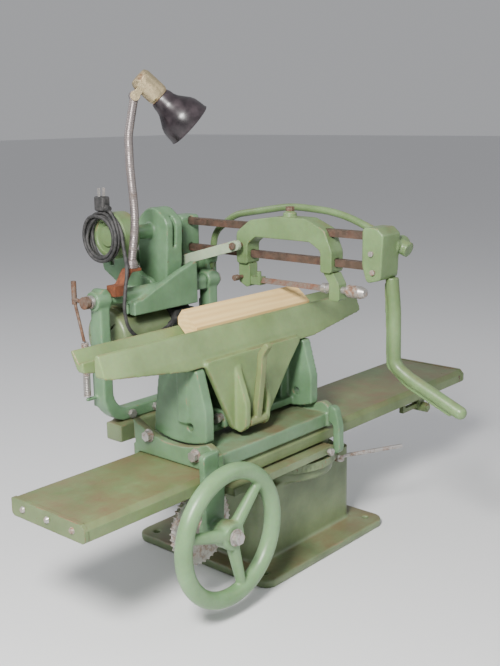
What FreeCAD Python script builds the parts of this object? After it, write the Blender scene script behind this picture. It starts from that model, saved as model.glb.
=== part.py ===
import FreeCAD, Part
import math
import os
from FreeCAD import Placement, Rotation, Vector

# Saw filing machine: pedestal, swivelling bed, sliding saddle with a tilting saw vise,
# and a hinged head that strokes a file across the saw teeth. Millimetres, +X along the bed,
# -Y towards the operator, +Z up, origin under the middle of the pedestal.

doc = FreeCAD.newDocument("saw_filing_machine")
dims = doc.addObject("Spreadsheet::Sheet", "dims")

cells = [
    ("flange_thick", 16), ("flange_hole", 14), ("flange_middle", 50),
    ("hole_pitch_x", 330), ("hole_pitch_y", 290), 
    ("disc_radius", 112), ("disc_base", 180), ("disc_thick", 16),
    ("bed_length", 1140), ("bed_width", 182), ("bed_top", 250), ("bed_plate", 10), ("bed_depth", 28),
    ("end_plate", 8), ("saddle_left", -300), ("saddle_right", 46), ("saddle_height", 28),
    ("cheek_thick", 16), ("vise_axis_height", 484), ("rocker_radius", 200), ("vise_mid", -130),
    ("jaw_length", 700), ("board_length", 322),
    ("wheel_diameter", 254), ("wheel_height", 156), ("wheel_plane", -142), ("rim_thick", 32),
    ("shaft_radius", 9), ("gear_radius", 70), ("gear_teeth", 44),
    ("pivot_height", 512), ("pivot_back", 219), ("pivot_radius", 9),
    ("fork_left", -280), ("fork_right", 42), ("fork_arm", 24),
    ("rail_side", 14), ("rail_x", 20), ("rail_upper", 634), ("rail_lower", 579),
    ("post_back", 273), ("rail_front", -228), ("rail_rear", 288),
    ("crank_back", 352), ("crank_height", 556), ("crank_throw", 30), ("rod_length", 232),
    ("motor_radius", 60), ("motor_length", 170), ("drum_radius", 46), ("drum_back", 270),
    ("lamp_x", -196), ("lamp_y", 206), ("lamp_base", 566), ("neck_radius", 8),
    ("shade_mouth", 47), ("cord_radius", 3.5), ("rod_pin_height", 597),
]
for row, (name, value) in enumerate(cells, start=1):
    dims.set(f"A{row}", name)
    dims.set(f"B{row}", str(value))
    dims.setAlias(f"B{row}", name)
doc.recompute()

nodes = {}


def dim(name):
    return float(dims.get(name))


def bind(obj, prop, value):
    # a text value is an expression on the sheet, a number is set as it is
    if isinstance(value, str):
        obj.setExpression(prop, value)
    else:
        setattr(obj, prop, value)


def keep(obj, label):
    obj.Label = label
    nodes[label] = obj
    return obj


def box(name, corner, sizes):
    obj = doc.addObject("Part::Box", name)
    for prop, value in zip(("Length", "Width", "Height"), sizes):
        bind(obj, prop, value)
    obj.Placement.Base = Vector(*corner)
    return obj


def turn_to(axis):
    ways = {"X": Vector(1, 0, 0), "Y": Vector(0, 1, 0), "Z": Vector(0, 0, 1)}
    way = ways[axis] if isinstance(axis, str) else axis
    return Rotation(Vector(0, 0, 1), way)


def rod(name, start, axis, radius, length):
    obj = doc.addObject("Part::Cylinder", name)
    bind(obj, "Radius", radius)
    bind(obj, "Height", length)
    obj.Placement = Placement(Vector(*start), turn_to(axis))
    return obj


def cone(name, start, axis, radius_a, radius_b, length):
    obj = doc.addObject("Part::Cone", name)
    bind(obj, "Radius1", radius_a)
    bind(obj, "Radius2", radius_b)
    bind(obj, "Height", length)
    obj.Placement = Placement(Vector(*start), turn_to(axis))
    return obj


def hexagon(name, start, axis, across, length):
    obj = doc.addObject("Part::Prism", name)
    obj.Polygon = 6
    obj.Circumradius = across / math.sqrt(3)
    bind(obj, "Height", length)
    obj.Placement = Placement(Vector(*start), turn_to(axis))
    return obj


def fuse(name, parts):
    obj = doc.addObject("Part::MultiFuse", name)
    obj.Shapes = parts
    obj.Refine = True
    return obj


def cut(name, base, tools):
    tool = tools[0] if len(tools) == 1 else fuse(name + "_tools", tools)
    obj = doc.addObject("Part::Cut", name)
    obj.Base = base
    obj.Tool = tool
    return obj


def group(name, parts):
    # loose identical fasteners that share one node
    obj = doc.addObject("Part::Compound", name)
    obj.Links = parts
    return obj


def rounded(points):
    # closed outline of lines, with an arc at each point that carries a radius
    count = len(points)
    marks = []
    for index, point in enumerate(points):
        here = Vector(point[0], point[1], 0)
        if len(point) == 2:
            marks.append((here, None, here))
            continue
        before = Vector(points[index - 1][0], points[index - 1][1], 0) - here
        after = Vector(points[(index + 1) % count][0], points[(index + 1) % count][1], 0) - here
        before.normalize()
        after.normalize()
        half = before.getAngle(after) / 2
        reach = point[2] / math.tan(half)
        middle = (before + after).normalize()
        centre = here + middle * (point[2] / math.sin(half))
        marks.append((here + before * reach, centre - middle * point[2], here + after * reach))
    edges = []
    for index, (start, through, finish) in enumerate(marks):
        if through is not None:
            edges.append(Part.Arc(start, through, finish))
        leave = marks[(index + 1) % count][0]
        if finish.distanceToPoint(leave) > 1e-6:
            edges.append(Part.LineSegment(finish, leave))
    return edges


def sketch_on(body, name, plane, offset, points, holes=()):
    sketch = body.newObject("Sketcher::SketchObject", name)
    face = [item for item in body.Origin.OriginFeatures if item.Role == plane][0]
    sketch.AttachmentSupport = [(face, "")]
    sketch.MapMode = "FlatFace"
    sketch.AttachmentOffset = Placement(Vector(0, 0, offset), Rotation())
    for edge in rounded(points):
        sketch.addGeometry(edge, False)
    for (across, up, radius) in holes:
        sketch.addGeometry(Part.Circle(Vector(across, up, 0), Vector(0, 0, 1), radius), False)
    return sketch


def plate(name, across, start, length, points, holes=()):
    # outline padded along one axis: "Z" draws in x, y; "Y" draws in x, z; "X" draws in y, z
    body = doc.addObject("PartDesign::Body", name)
    plane = {"Z": "XY_Plane", "Y": "XZ_Plane", "X": "YZ_Plane"}[across]
    offset = -start if across == "Y" else start
    sketch = sketch_on(body, name + "_outline", plane, offset, points, holes)
    pad = body.newObject("PartDesign::Pad", name + "_pad")
    pad.Profile = sketch
    bind(pad, "Length", length)
    pad.Reversed = across == "Y"
    return body


def turned(name, centre, axis, points):
    # profile of radius and height turned about the piece's own axis
    body = doc.addObject("PartDesign::Body", name)
    sketch = sketch_on(body, name + "_profile", "XZ_Plane", 0, points)
    turning = body.newObject("PartDesign::Revolution", name + "_turning")
    turning.Profile = sketch
    turning.ReferenceAxis = (sketch, ["V_Axis"])
    turning.Angle = 360
    body.Placement = Placement(Vector(*centre), turn_to(axis))
    return body


def bent_path(points, radii):
    # straight runs joined by tangent arcs
    spots = [Vector(*point) for point in points]
    edges = []
    last = spots[0]
    for index in range(1, len(spots) - 1):
        back = (spots[index - 1] - spots[index]).normalize()
        on = (spots[index + 1] - spots[index]).normalize()
        half = back.getAngle(on) / 2
        reach = radii[index - 1] / math.tan(half)
        start = spots[index] + back * reach
        finish = spots[index] + on * reach
        middle = (back + on).normalize()
        through = spots[index] + middle * (radii[index - 1] / math.sin(half) - radii[index - 1])
        if last.distanceToPoint(start) > 1e-5:
            edges.append(Part.LineSegment(last, start).toShape())
        edges.append(Part.Arc(start, through, finish).toShape())
        last = finish
    edges.append(Part.LineSegment(last, spots[-1]).toShape())
    return Part.Wire(edges)


def bent_bar(name, points, radii, radius):
    wire = bent_path(points, radii)
    first = wire.Vertexes[0].Point
    way = wire.Edges[0].tangentAt(wire.Edges[0].FirstParameter)
    ring = Part.Wire(Part.makeCircle(radius, first, way))
    obj = doc.addObject("Part::Feature", name)
    obj.Shape = wire.makePipeShell([ring], True, False)
    return obj


# ---------------------------------------------------------------- pedestal
bed_top = dim("bed_top")
foot = plate("pedestal_foot", "Z", 0, "dims.flange_thick",
             [(-195, -128, 30), (195, -128, 30), (195, 228, 30), (-195, 228, 30)])
column = plate("pedestal_column", "Z", 10, "dims.disc_base - 30",
               [(-153, -67, 24), (153, -67, 24), (153, 70, 24), (-153, 70, 24)])
seat = rod("pedestal_seat", (0, 0, 158), "Z", "dims.disc_radius - 8", "dims.disc_base - 158.3")
king_pin = rod("pedestal_king_pin", (0, 0, 170), "Z", 15, 24)
beam = box("pedestal_beam", (-250, 196, 228), (270, 44, 36))
struts = []
for index, edge in enumerate((-150, -24)):
    struts.append(box(f"pedestal_strut_{index}", (edge, 60, 104), (44, 180, 70)))
    struts.append(box(f"pedestal_upright_{index}", (edge, 196, 110), (44, 44, 130)))
holes = []
for side in (-1, 1):
    for end in (-1, 1):
        centre = (end * dim("hole_pitch_x") / 2, dim("flange_middle") + side * dim("hole_pitch_y") / 2, -1)
        holes.append(rod(f"foot_hole_{side}_{end}".replace("-1", "a"), centre, "Z",
                         "dims.flange_hole / 2", "dims.flange_thick + 20"))
fork_seat = box("fork_seat", (-232, 199, 264), (236, 40, 4))
solid = fuse("pedestal_solid", [foot, column, seat, king_pin, beam, fork_seat] + struts)
keep(cut("pedestal", solid, holes), "pedestal")

# ---------------------------------------------------------------- head fork
left = dim("fork_left")
right = dim("fork_right")
arm = dim("fork_arm")
back = dim("pivot_back")
high = dim("pivot_height")
outline = [(left, high + 22, 14), (left, 268, 62), (right, 268, 62), (right, high + 22, 14),
           (right - arm, high + 22, 8), (right - arm, 292, 42), (left + arm, 292, 42),
           (left + arm, high + 22, 8)]
fork_bar = plate("fork_bar", "Y", back - 15, 30, outline)
bosses = []
for index, edge in enumerate((left - 6, right - arm - 4)):
    bosses.append(rod(f"fork_boss_{index}", (edge, back, high), "X", 19, arm + 10))
for index, edge in enumerate((left, right - arm)):
    bosses.append(box(f"fork_rib_{index}", (edge + 7, back + 10, 300), (10, 16, 170)))
bores = [rod(f"fork_bore_{index}", (edge, back, high), "X", "dims.pivot_radius + 0.05", arm + 40)
         for index, edge in enumerate((left - 20, right - arm - 20))]
bosses.append(rod("spring_anchor", (left - 26, 226, 324), "X", 4, 32))
keep(cut("head_fork", fuse("fork_solid", [fork_bar] + bosses), bores), "head_fork")
bolts = []
for index, spot in enumerate((-214, -150, -84, -20)):
    bolts.append(hexagon(f"fork_bolt_{index}", (spot, back - 15.2, 280), Vector(0, -1, 0), 15, 8))
keep(group("fork_bolts", bolts), "fork_bolts")
pins = [rod(f"pivot_pin_{index}", (edge, back, high), "X", "dims.pivot_radius", length)
        for index, (edge, length) in enumerate(((left - 12, 66), (right - 54, 66)))]
caps = [rod("pivot_cap_0", (left - 14, back, high), "X", 12.5, 7),
        rod("pivot_cap_1", (right + 7, back, high), "X", 12.5, 7)]
keep(group("pivot_pins", [fuse("pivot_a", [pins[0], caps[0]]), fuse("pivot_b", [pins[1], caps[1]])]),
     "pivot_pins")

# ---------------------------------------------------------------- swivel and bed
base = dim("disc_base")
disc = rod("disc_plate", (0, 0, base), "Z", "dims.disc_radius", "dims.disc_thick")
neck = plate("disc_neck", "Z", base + 12, bed_top - 10.05 - base - 12,
             [(-92, -58, 16), (92, -58, 16), (92, 58, 16), (-92, 58, 16)])
ticks = [rod("disc_bore", (0, 0, base - 1), "Z", 15.06, 16)]
for step in range(-12, 13):
    angle = math.radians(-90 + step * 5)
    reach = dim("disc_radius")
    tick = box(f"tick_{step + 12}", (0, 0, 0), (2.2, 0.8, 10 if step % 3 == 0 else 6))
    tick.Placement = Placement(Vector((reach - 1) * math.cos(angle), (reach - 1) * math.sin(angle), base + 3),
                               Rotation(Vector(0, 0, 1), math.degrees(angle)))
    ticks.append(tick)
clamp_block = rod("swivel_clamp_block", (82, -86, base), "Z", 15, 16)
keep(cut("swivel_disc", fuse("disc_solid", [disc, neck, clamp_block]), ticks), "swivel_disc")

half = dim("bed_width") / 2
low = bed_top - dim("bed_depth")
under = bed_top - dim("bed_plate")
keep(plate("bed_table", "X", -570, "dims.bed_length",
           [(-half, low, 2), (-half + 10, low, 2), (-half + 10, under, 4), (half - 10, under, 4),
            (half - 10, low, 2), (half, low, 2), (half, bed_top, 4), (-half + 9, bed_top, 3),
            (-half, bed_top - 9, 3)]), "bed_table")
for label, start in (("bed_end_left", -578.05), ("bed_end_right", 570.05)):
    keep(plate(label, "X", start, "dims.end_plate",
               [(-half - 1, low - 2, 8), (half + 1, low - 2, 8), (half + 1, bed_top + 1, 4),
                (-half + 9, bed_top + 1, 3), (-half - 1, bed_top - 9, 3)]), label)
screws = []
for side, start, way in ((0, -578.1, Vector(-1, 0, 0)), (1, 578.1, Vector(1, 0, 0))):
    for index, spot in enumerate((-62, 0, 62)):
        screws.append(cone(f"end_screw_{side}_{index}", (start, spot, 236), way, 6, 4, 3.5))
keep(group("bed_end_screws", screws), "bed_end_screws")
foot_block = fuse("bed_foot_solid", [box("foot_lug", (402, -76.8, 190), (24, 18.8, 49.9)),
                                     rod("foot_boss", (414, -92, 196), "Y", 11, 36),
                                     box("foot_strut", (340, -74, 196), (66, 10, 10)),
                                     box("foot_stay", (340, -74, 196), (10, 10, 43.9)),
                                     rod("foot_pad", (414, -95, 196), "Y", 7, 6)])
keep(foot_block, "bed_foot")

tooth = 2 * math.pi * dim("gear_radius") / dim("gear_teeth")
teeth = []
wheel_x = -310
rack_start = wheel_x - 25.5 * tooth
rack_teeth = 47
for index in range(rack_teeth):
    edge = rack_start + index * tooth
    teeth += [(edge, 229), (edge + 0.3 * tooth, 229), (edge + 0.42 * tooth, 226), (edge + 0.58 * tooth, 226),
              (edge + 0.7 * tooth, 229)]
rack_end = rack_start + rack_teeth * tooth
rack_points = teeth + [(rack_end, 229), (rack_end, 239.9), (rack_start, 239.9)]
keep(plate("bed_rack", "Y", -76.8, 8, rack_points), "bed_rack")

# swivel clamp: a screw on the front of the disc, turned by a long round handle
clamp_way = Vector(0.906, -0.423, 0)
clamp = fuse("swivel_clamp_solid", [rod("swivel_screw", (82, -86, base - 16), "Z", 10, 15.7),
                                    rod("swivel_rod", (82, -86, base - 8), clamp_way, 4.2, 148)])
keep(clamp, "swivel_clamp")

# ---------------------------------------------------------------- saddle
sl = dim("saddle_left")
sr = dim("saddle_right")
cheek = dim("cheek_thick")
top = bed_top + dim("saddle_height")
axis_z = dim("vise_axis_height")
cradle = rod("cradle_sweep", (sl - 5, 0, axis_z), "X", "dims.rocker_radius + 0.4", sr - sl + 10)
cheek_left = plate("cheek_left", "X", sl, cheek,
                   [(-97, bed_top + 0.4), (99, bed_top + 0.4), (104, 318, 8), (70, 318, 4), (-70, 306, 4),
                    (-100, 292, 10)])
cheek_right = plate("cheek_right", "X", sr - cheek, cheek,
                    [(-97, bed_top + 0.4), (99, bed_top + 0.4), (104, 318, 8), (70, 318, 4), (-70, 306, 4),
                     (-97, 292, 10)])
deck = box("saddle_deck", (sl + 2, -92, bed_top + 0.4), (sr - sl - 4, 190, "dims.saddle_height - 0.4"))
skirt = box("saddle_skirt", (sl, 91.5, 204), (sr - sl, 12, 60))
keeper = box("saddle_keeper", (sl, 76, 204), (sr - sl, 26, 16))
horn = box("saddle_horn", (sl, -108, 252), (cheek, 14, 34))
keep(cut("saddle", fuse("saddle_solid", [cheek_left, cheek_right, deck, skirt, keeper, horn]), [cradle]),
     "saddle")
keep(plate("saddle_arm", "X", sr - 17, 16.9,
           [(-97.1, 262), (-97.1, 294, 4), (-112, 294, 12), (-122, 258, 30), (-124, 197, 16), (-70, 197, 3),
            (-70, 206, 3), (-108, 209, 8), (-108, 256, 10)]), "saddle_arm")
keep(box("saddle_gib", (sl + 36, -112, 203), (sr - sl - 54, 32, 14)), "saddle_gib")
nuts = [fuse("gib_screw", [rod("gib_thread", (8, -112.1, 210), Vector(0, -1, 0), 4, 4),
                           hexagon("gib_head", (8, -116, 210), Vector(0, -1, 0), 13, 7)])]
for index, (spot, up) in enumerate(((60, 288), (-56, 276))):
    nuts.append(fuse(f"saddle_bolt_{index}", [rod(f"saddle_washer_{index}", (sl - 2.6, spot, up), "X", 12, 2.5),
                                              hexagon(f"saddle_head_{index}", (sl - 11, spot, up), "X", 17, 9)]))
keep(group("saddle_bolts", nuts), "saddle_bolts")
wheel_z = dim("wheel_height")
hanger = plate("hanger_plate", "Y", -109, 13,
               [(wheel_x - 26, 296, 10), (wheel_x - 20, 132, 20), (wheel_x + 20, 132, 20), (wheel_x + 30, 296, 10)])
hanger_boss = rod("hanger_boss", (wheel_x, -122, wheel_z), "Y", 20, 34)
shaft_bore = rod("hanger_bore", (wheel_x, -140, wheel_z), "Y", "dims.shaft_radius + 0.06", 70)
step_cut = box("hanger_step", (sl - 0.1, -108.1, 250.3), (cheek + 12, 14.2, 60))
keep(cut("wheel_bracket", fuse("hanger_solid", [hanger, hanger_boss]), [shaft_bore, step_cut]),
     "wheel_bracket")

# ---------------------------------------------------------------- handwheel
plane_y = dim("wheel_plane")
rim = dim("wheel_diameter") / 2
thick = dim("rim_thick")
rim_solid = turned("wheel_rim", (wheel_x, plane_y, wheel_z), "Y",
                   [(rim - 29, -thick / 2, 10), (rim, -thick / 2, 14), (rim, thick / 2, 10), (rim - 29, thick / 2, 6)])
hub = rod("wheel_hub", (wheel_x, plane_y - 11, wheel_z), "Y", 24, 31)
spokes = []
for index in range(3):
    angle = math.radians(45 + 120 * index)
    way = Vector(math.cos(angle), 0, math.sin(angle))
    spokes.append(cone(f"wheel_spoke_{index}", (wheel_x, plane_y, wheel_z), way, 12, 9, rim - 16))
wheel_solid = fuse("wheel_solid", [rim_solid, hub] + spokes)
wheel_bore = rod("wheel_bore", (wheel_x, plane_y - 30, wheel_z), "Y", "dims.shaft_radius", 80)
keep(cut("handwheel", wheel_solid, [wheel_bore]), "handwheel")
keep(fuse("wheel_nut_solid", [rod("wheel_washer", (wheel_x, plane_y - 15.2, wheel_z), "Y", 15, 3),
                              hexagon("wheel_nut_head", (wheel_x, plane_y - 24, wheel_z), "Y", 20, 9)]),
     "wheel_nut")
pitch = dim("gear_radius")
gear_points = []
count = int(dim("gear_teeth"))
for index in range(count):
    for share, reach in ((0.0, pitch - 2.2), (0.3, pitch - 2.2), (0.42, pitch + 1.2), (0.58, pitch + 1.2),
                         (0.7, pitch - 2.2)):
        angle = 2 * math.pi * (index + share) / count
        gear_points.append((wheel_x + reach * math.sin(angle), wheel_z + reach * math.cos(angle)))
gear = plate("gear_blank", "Y", -77, 8.2, gear_points)
shaft = rod("wheel_shaft", (wheel_x, plane_y - 12, wheel_z), "Y", "dims.shaft_radius", 92)
keep(fuse("drive_gear", [gear, shaft]), "drive_gear")

# ---------------------------------------------------------------- vise
mid = dim("vise_mid")
reach = dim("rocker_radius")
standards = []
for label, start in (("left", -284), ("right", 14)):
    blank = plate(f"standard_{label}", "X", start, 22,
                  [(-66, 270), (66, 270), (60, 330, 30), (46, 421, 6), (-46, 421, 6), (-66, 350, 40)])
    sweep = rod(f"rocker_{label}", (start - 1, 0, axis_z), "X", "dims.rocker_radius", 24)
    common = doc.addObject("Part::Common", f"standard_{label}_rocker")
    common.Base = blank
    common.Tool = sweep
    standards.append(common)
ribs = []
for index, spot in enumerate((-262.5, -8)):
    ribs.append(box(f"standard_rib_{index}", (spot, -8, 300), (22.5, 16, 118)))
wall = box("cradle_wall", (-264, 22, 296), (280, 15, 125))
floor = box("cradle_floor", (-264, -20, 288), (280, 50, 14))
brackets = [box(f"rod_bracket_{index}", (spot, -38, 296), (12, 40, 32)) for index, spot in enumerate((-206, -86))]
brackets.append(box("standard_outer_rib", (-288, -24, 323), (6, 22, 96)))
cradle_solid = fuse("cradle_solid", standards + ribs + [wall, floor] + brackets)
rod_hole = rod("cradle_rod_hole", (-300, -28, 316), "X", 7.06, 400)
cradle_body = cut("cradle_bored", cradle_solid, [rod_hole])
keep(cradle_body, "vise_cradle")
keep(fuse("vise_rod_solid", [rod("vise_rod_bar", (-214, -28, 316), "X", 7, 148),
                             hexagon("vise_rod_head", (-220, -28, 316), "X", 17, 6)]), "vise_rod")
jaw = dim("jaw_length")
jaw_left = mid - jaw / 2
jaw_right = mid + jaw / 2
deep = [(jaw_left, 486), (jaw_right, 486), (jaw_right, 448, 6), (36, 421.3, 20), (-286, 421.3, 20), (jaw_left, 448, 6)]
rear_blank = plate("rear_jaw_section", "X", jaw_left, "dims.jaw_length",
                   [(13.9, 421.3), (28, 421.3), (28, 448, 6), (44, axis_z - 3, 1), (40, axis_z, 1), (24, 462, 3),
                    (17, 466, 2), (13.9, 466)])
rear_side = plate("rear_jaw_side", "Y", -60, 140, deep)
rear_jaw = doc.addObject("Part::Common", "rear_jaw_solid")
rear_jaw.Base = rear_blank
rear_jaw.Tool = rear_side
keep(rear_jaw, "rear_jaw")
front_blank = plate("front_jaw_section", "X", jaw_left, "dims.jaw_length",
                    [(-13.9, 421.6), (-13.9, axis_z - 4, 1), (-18, axis_z, 1), (-24, axis_z, 2), (-40, 444, 6),
                     (-46, 423.6)])
front_side = plate("front_jaw_side", "Y", -60, 140,
                   [(jaw_left, 488), (jaw_right, 488), (jaw_right, 446, 6), (36, 421.6, 20), (-286, 421.6, 20),
                    (jaw_left, 446, 6)])
front_bar = doc.addObject("Part::Common", "front_jaw_bar")
front_bar.Base = front_blank
front_bar.Tool = front_side
apron = plate("front_apron", "Y", -52, 12,
              [(-268, 434, 8), (8, 434, 8), (-30, 390, 40), (-104, 291, 20), (-194, 291, 20), (-248, 398, 50)])
apron_boss = rod("apron_boss", (-190, -28, 316), "X", 12, 100)
fins = []
for index, (spot, wide, out) in enumerate(((-190, 14, -78), (-126, 10, -74))):
    fins.append(plate(f"apron_fin_{index}", "X", spot, wide,
                      [(-42, 296), (-42, 414), (-52, 414, 4), (out, 340, 60), (out + 4, 300, 14), (-62, 289, 8), (-50, 291)]))
lever_pin = rod("lever_pin", (-180, -66, 306), "X", 5, 58)
apron_bore = rod("apron_bore", (-300, -28, 316), "X", 7.06, 400)
apron_gap = box("apron_gap", (-150, -40, 296), (30, 30, 40))
keep(cut("front_jaw", fuse("front_jaw_solid", [front_bar, apron, apron_boss, lever_pin] + fins),
         [apron_bore, apron_gap]), "front_jaw")
lever_bar = plate("lever_bar", "X", -158, 14,
                  [(-58, 300, 4), (-72, 298, 6), (-86, 400, 60), (-88, 428, 20), (-102, 448, 4), (-94, 456, 5),
                   (-76, 432, 20), (-74, 400, 60)])
lever_hub = rod("lever_hub", (-174, -66, 306), "X", 9, 46)
lever_bore = rod("lever_bore", (-180, -66, 306), "X", 5.06, 60)
keep(cut("clamp_lever", fuse("lever_solid", [lever_bar, lever_hub]), [lever_bore]), "clamp_lever")
board_x = -246
keep(plate("wood_board", "X", board_x, "dims.board_length",
           [(-13.5, 446, 1), (13.5, 446, 1), (13.5, 470), (33, 488), (33, 500, 1), (22, 515, 1), (-13.5, 487, 1)]),
     "wood_board")

# ---------------------------------------------------------------- head casting
inner_left = left + arm + 5
inner_right = right - arm - 5
tube = rod("head_tube", (inner_left, back, high), "X", 14, inner_right - inner_left)
table = fuse("head_table", [box("table_main", (-204, 206, 496), (216, 118, 12)),
                            box("table_side", (0, 250, 496), (46, 74, 12))])
web = box("head_web", (-204, 214, 474), (180, 12, 24))
plate_shape = plate("head_plate", "X", -120, 14,
                    [(225, 505), (322, 505), (384, 540, 20), (376, 584, 24), (330, 584, 24), (262, 536, 10),
                     (238, 530, 8)])
gusset = plate("head_gusset", "Y", 192, 16,
               [(-204, 474), (-204, 501, 4), (-184, 503, 20), (-84, 544, 20), (-30, 562, 6), (-30, 474)])
post_foot = box("post_foot", (-6, 258, 456), (20, 32, 50))
post = plate("head_post", "X", -6, 50,
             [(256, 505), (298, 505), (298, 646, 6), (256, 646, 6)])
case = plate("gear_case", "X", -86, 44,
             [(226, 505), (304, 505), (308, 644, 36), (264, 678, 34), (218, 644, 30)])
case_slot = box("case_slot", (-68, 208, 590), (8, 26, 64))
shaft_tube = rod("shaft_tube", (-156, dim("drum_back"), 622), "X", 15, 76)
crank_boss = rod("crank_boss", (-108, dim("crank_back"), dim("crank_height")), "X", 17, 66)
head_bores = [rod("head_bore", (left - 30, back, high), "X", "dims.pivot_radius + 0.06", 420),
              rod("crank_bore", (-130, dim("crank_back"), dim("crank_height")), "X", 8.06, 140)]
rail_cuts = []
for name, up in (("upper", dim("rail_upper")), ("lower", dim("rail_lower"))):
    rail_cuts.append(box(f"post_slot_{name}", (dim("rail_x") - 7, 240, up - 7), (14, 80, 14)))
head_solid = fuse("head_solid", [tube, table, web, plate_shape, gusset, post_foot, post, case, shaft_tube,
                                crank_boss])
head_body = cut("head_body", head_solid, head_bores + rail_cuts + [case_slot])

for name, up in (("upper", dim("rail_upper")), ("lower", dim("rail_lower"))):
    keep(box(f"rail_{name}", (dim("rail_x") - 7, dim("rail_front"), up - 7),
             ("dims.rail_side", "dims.rail_rear - dims.rail_front", "dims.rail_side")), f"rail_{name}")
front_blank = plate("front_casting_blank", "X", -8, 56,
                    [(-240, 640, 8), (-236, 560, 10), (-206, 552, 8), (-196, 584, 6), (-196, 652, 8), (-226, 652, 8)])
front_slots = [box(f"front_slot_{name}", (dim("rail_x") - 7, -228, up - 7), (14, 60, 14))
               for name, up in (("upper", dim("rail_upper")), ("lower", dim("rail_lower")))]
front_body = cut("front_body", front_blank, front_slots)
clamp_screws = []
for index, (spot, up) in enumerate(((-216, 606), (-220, 573))):
    clamp_screws.append(rod(f"casting_screw_{index}", (-12, spot, up), "X", 5, 4))
for index, up in enumerate((634, 606, 579)):
    clamp_screws.append(rod(f"post_screw_{index}", (-10, 272, up), "X", 5, 4))
keep(group("rail_screws", clamp_screws), "rail_screws")

# arched bar from the rear bracket over the head to the front boss
bow_x = 62
keep(bent_bar("head_bow", [(bow_x, 242, 530), (bow_x, 226, 608), (bow_x, 170, 648), (bow_x, 20, 673),
                           (bow_x, -96, 667), (bow_x, -188, 634), (bow_x, -216, 622)],
              [44, 100, 300, 300, 120], 7), "head_bow")
bow_bracket = fuse("bow_bracket_solid", [box("bow_bracket_plate", (43, 236, 500), (33, 22, 68)),
                                     rod("bow_bracket_boss", (bow_x, 238.9, 545), Vector(0, -0.2, 1), 12, 26)])
bow_hole = rod("bow_hole", (bow_x, 242, 530), Vector(0, -16, 78), 7, 60)
boss_room = rod("bow_boss_room", (30, back, high), "X", 19.6, 18.5)
bow_clamp = cut("bow_clamp", bow_bracket, [bow_hole, boss_room])
keep(fuse("head_casting", [head_body, bow_clamp]), "head_casting")
boss = fuse("bow_boss_solid", [rod("bow_boss_cross", (40, -226, 616), "X", 16, 40),
                               rod("bow_boss_end", (bow_x, -250, 608), Vector(0, 1, 0.36), 14, 30)])
boss_hole = bent_bar("boss_hole", [(bow_x, -96, 667), (bow_x, -188, 634), (bow_x, -216, 622)], [120], 7)
bow_boss = cut("bow_boss", boss, [boss_hole])
keep(fuse("front_casting", [front_body, bow_boss]), "front_casting")
lever_x = 34
lever_bar = bent_bar("handle_bar", [(lever_x, -232, 572), (lever_x, -240, 500), (lever_x, -242, 398),
                                    (lever_x, -276, 378), (lever_x, -379, 334)], [200, 30, 80], 12)
lever_rib = plate("handle_rib", "X", lever_x - 4, 8,
                  [(-232, 556), (-219, 556, 12), (-225, 450, 40), (-226, 394, 20), (-268, 362, 20), (-364, 322, 6),
                   (-366, 336), (-276, 376, 20), (-241, 400, 20)])
ball = doc.addObject("Part::Sphere", "handle_end")
ball.Radius = 12
ball.Placement.Base = Vector(lever_x, -379, 334)
handle_solid = fuse("handle_solid", [lever_bar, lever_rib, ball])
casting_cut = box("handle_casting_cut", (-10, -260, 560.1), (70, 80, 120))
socket_cut = plate("handle_socket_cut", "X", -9, 58,
                   [(-240, 640, 8), (-236, 560, 10), (-206, 552, 8), (-196, 584, 6), (-196, 652, 8), (-226, 652, 8)])
keep(cut("head_handle", handle_solid, [casting_cut, socket_cut]), "head_handle")

# ---------------------------------------------------------------- drive
motor_y = 268
motor_z = 496 - dim("motor_radius") - 14
motor = rod("motor_shell", (-200, motor_y, motor_z), "X", "dims.motor_radius", "dims.motor_length")
motor_foot = box("motor_foot", (-186, motor_y - 26, 450), (140, 70, 45.9))
keep(fuse("motor_solid", [motor, motor_foot]), "motor")
bell_left = turned("motor_bell_left", (-200.1, motor_y, motor_z), Vector(-1, 0, 0),
                   [(0, 0), (59, 0), (57, 14, 8), (24, 24, 8), (0, 24)])
slots = []
for index in range(8):
    slot = box(f"bell_slot_{index}", (0, 0, 0), (10, 16, 5))
    turn = Rotation(Vector(1, 0, 0), 45 * index)
    slot.Placement = Placement(Vector(-226, motor_y, motor_z) + turn.multVec(Vector(0, 30, -2.5)), turn)
    slots.append(slot)
keep(cut("motor_bell", bell_left, slots), "motor_bell")
keep(turned("motor_cap", (-29.9, motor_y, motor_z), "X",
            [(0, 0), (59, 0), (56, 12, 8), (22, 22, 6), (0, 22)]), "motor_cap")
drum_y = dim("drum_back")
drum_r = dim("drum_radius")
terminal_seat = rod("terminal_seat", (-100, motor_y, motor_z), "X", "dims.motor_radius + 0.05", 80)
keep(cut("motor_terminal", box("terminal_box", (-88, 199, 438), (52, 26, 28)), [terminal_seat]), "motor_terminal")
drum = turned("drum_blank", (-199, drum_y, 622), "X",
              [(0, 0), (28, 0), (drum_r - 4, 2, 4), (drum_r, 8, 3), (drum_r, 42.9), (0, 42.9)])
drum_dish = turned("drum_dish", (-200, drum_y, 622), "X", [(20, 0), (35, 0), (35, 5, 2), (20, 5, 2)])
keep(cut("belt_guard", drum, [drum_dish]), "belt_guard")
crank_y = dim("crank_back")
crank_z = dim("crank_height")
throw = dim("crank_throw")
keep(fuse("crank_solid", [rod("crank_disc", (-41, crank_y, crank_z), "X", 38, 9),
                          rod("crank_shaft", (-112, crank_y, crank_z), "X", 8, 76)]), "crank_disc")

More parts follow.
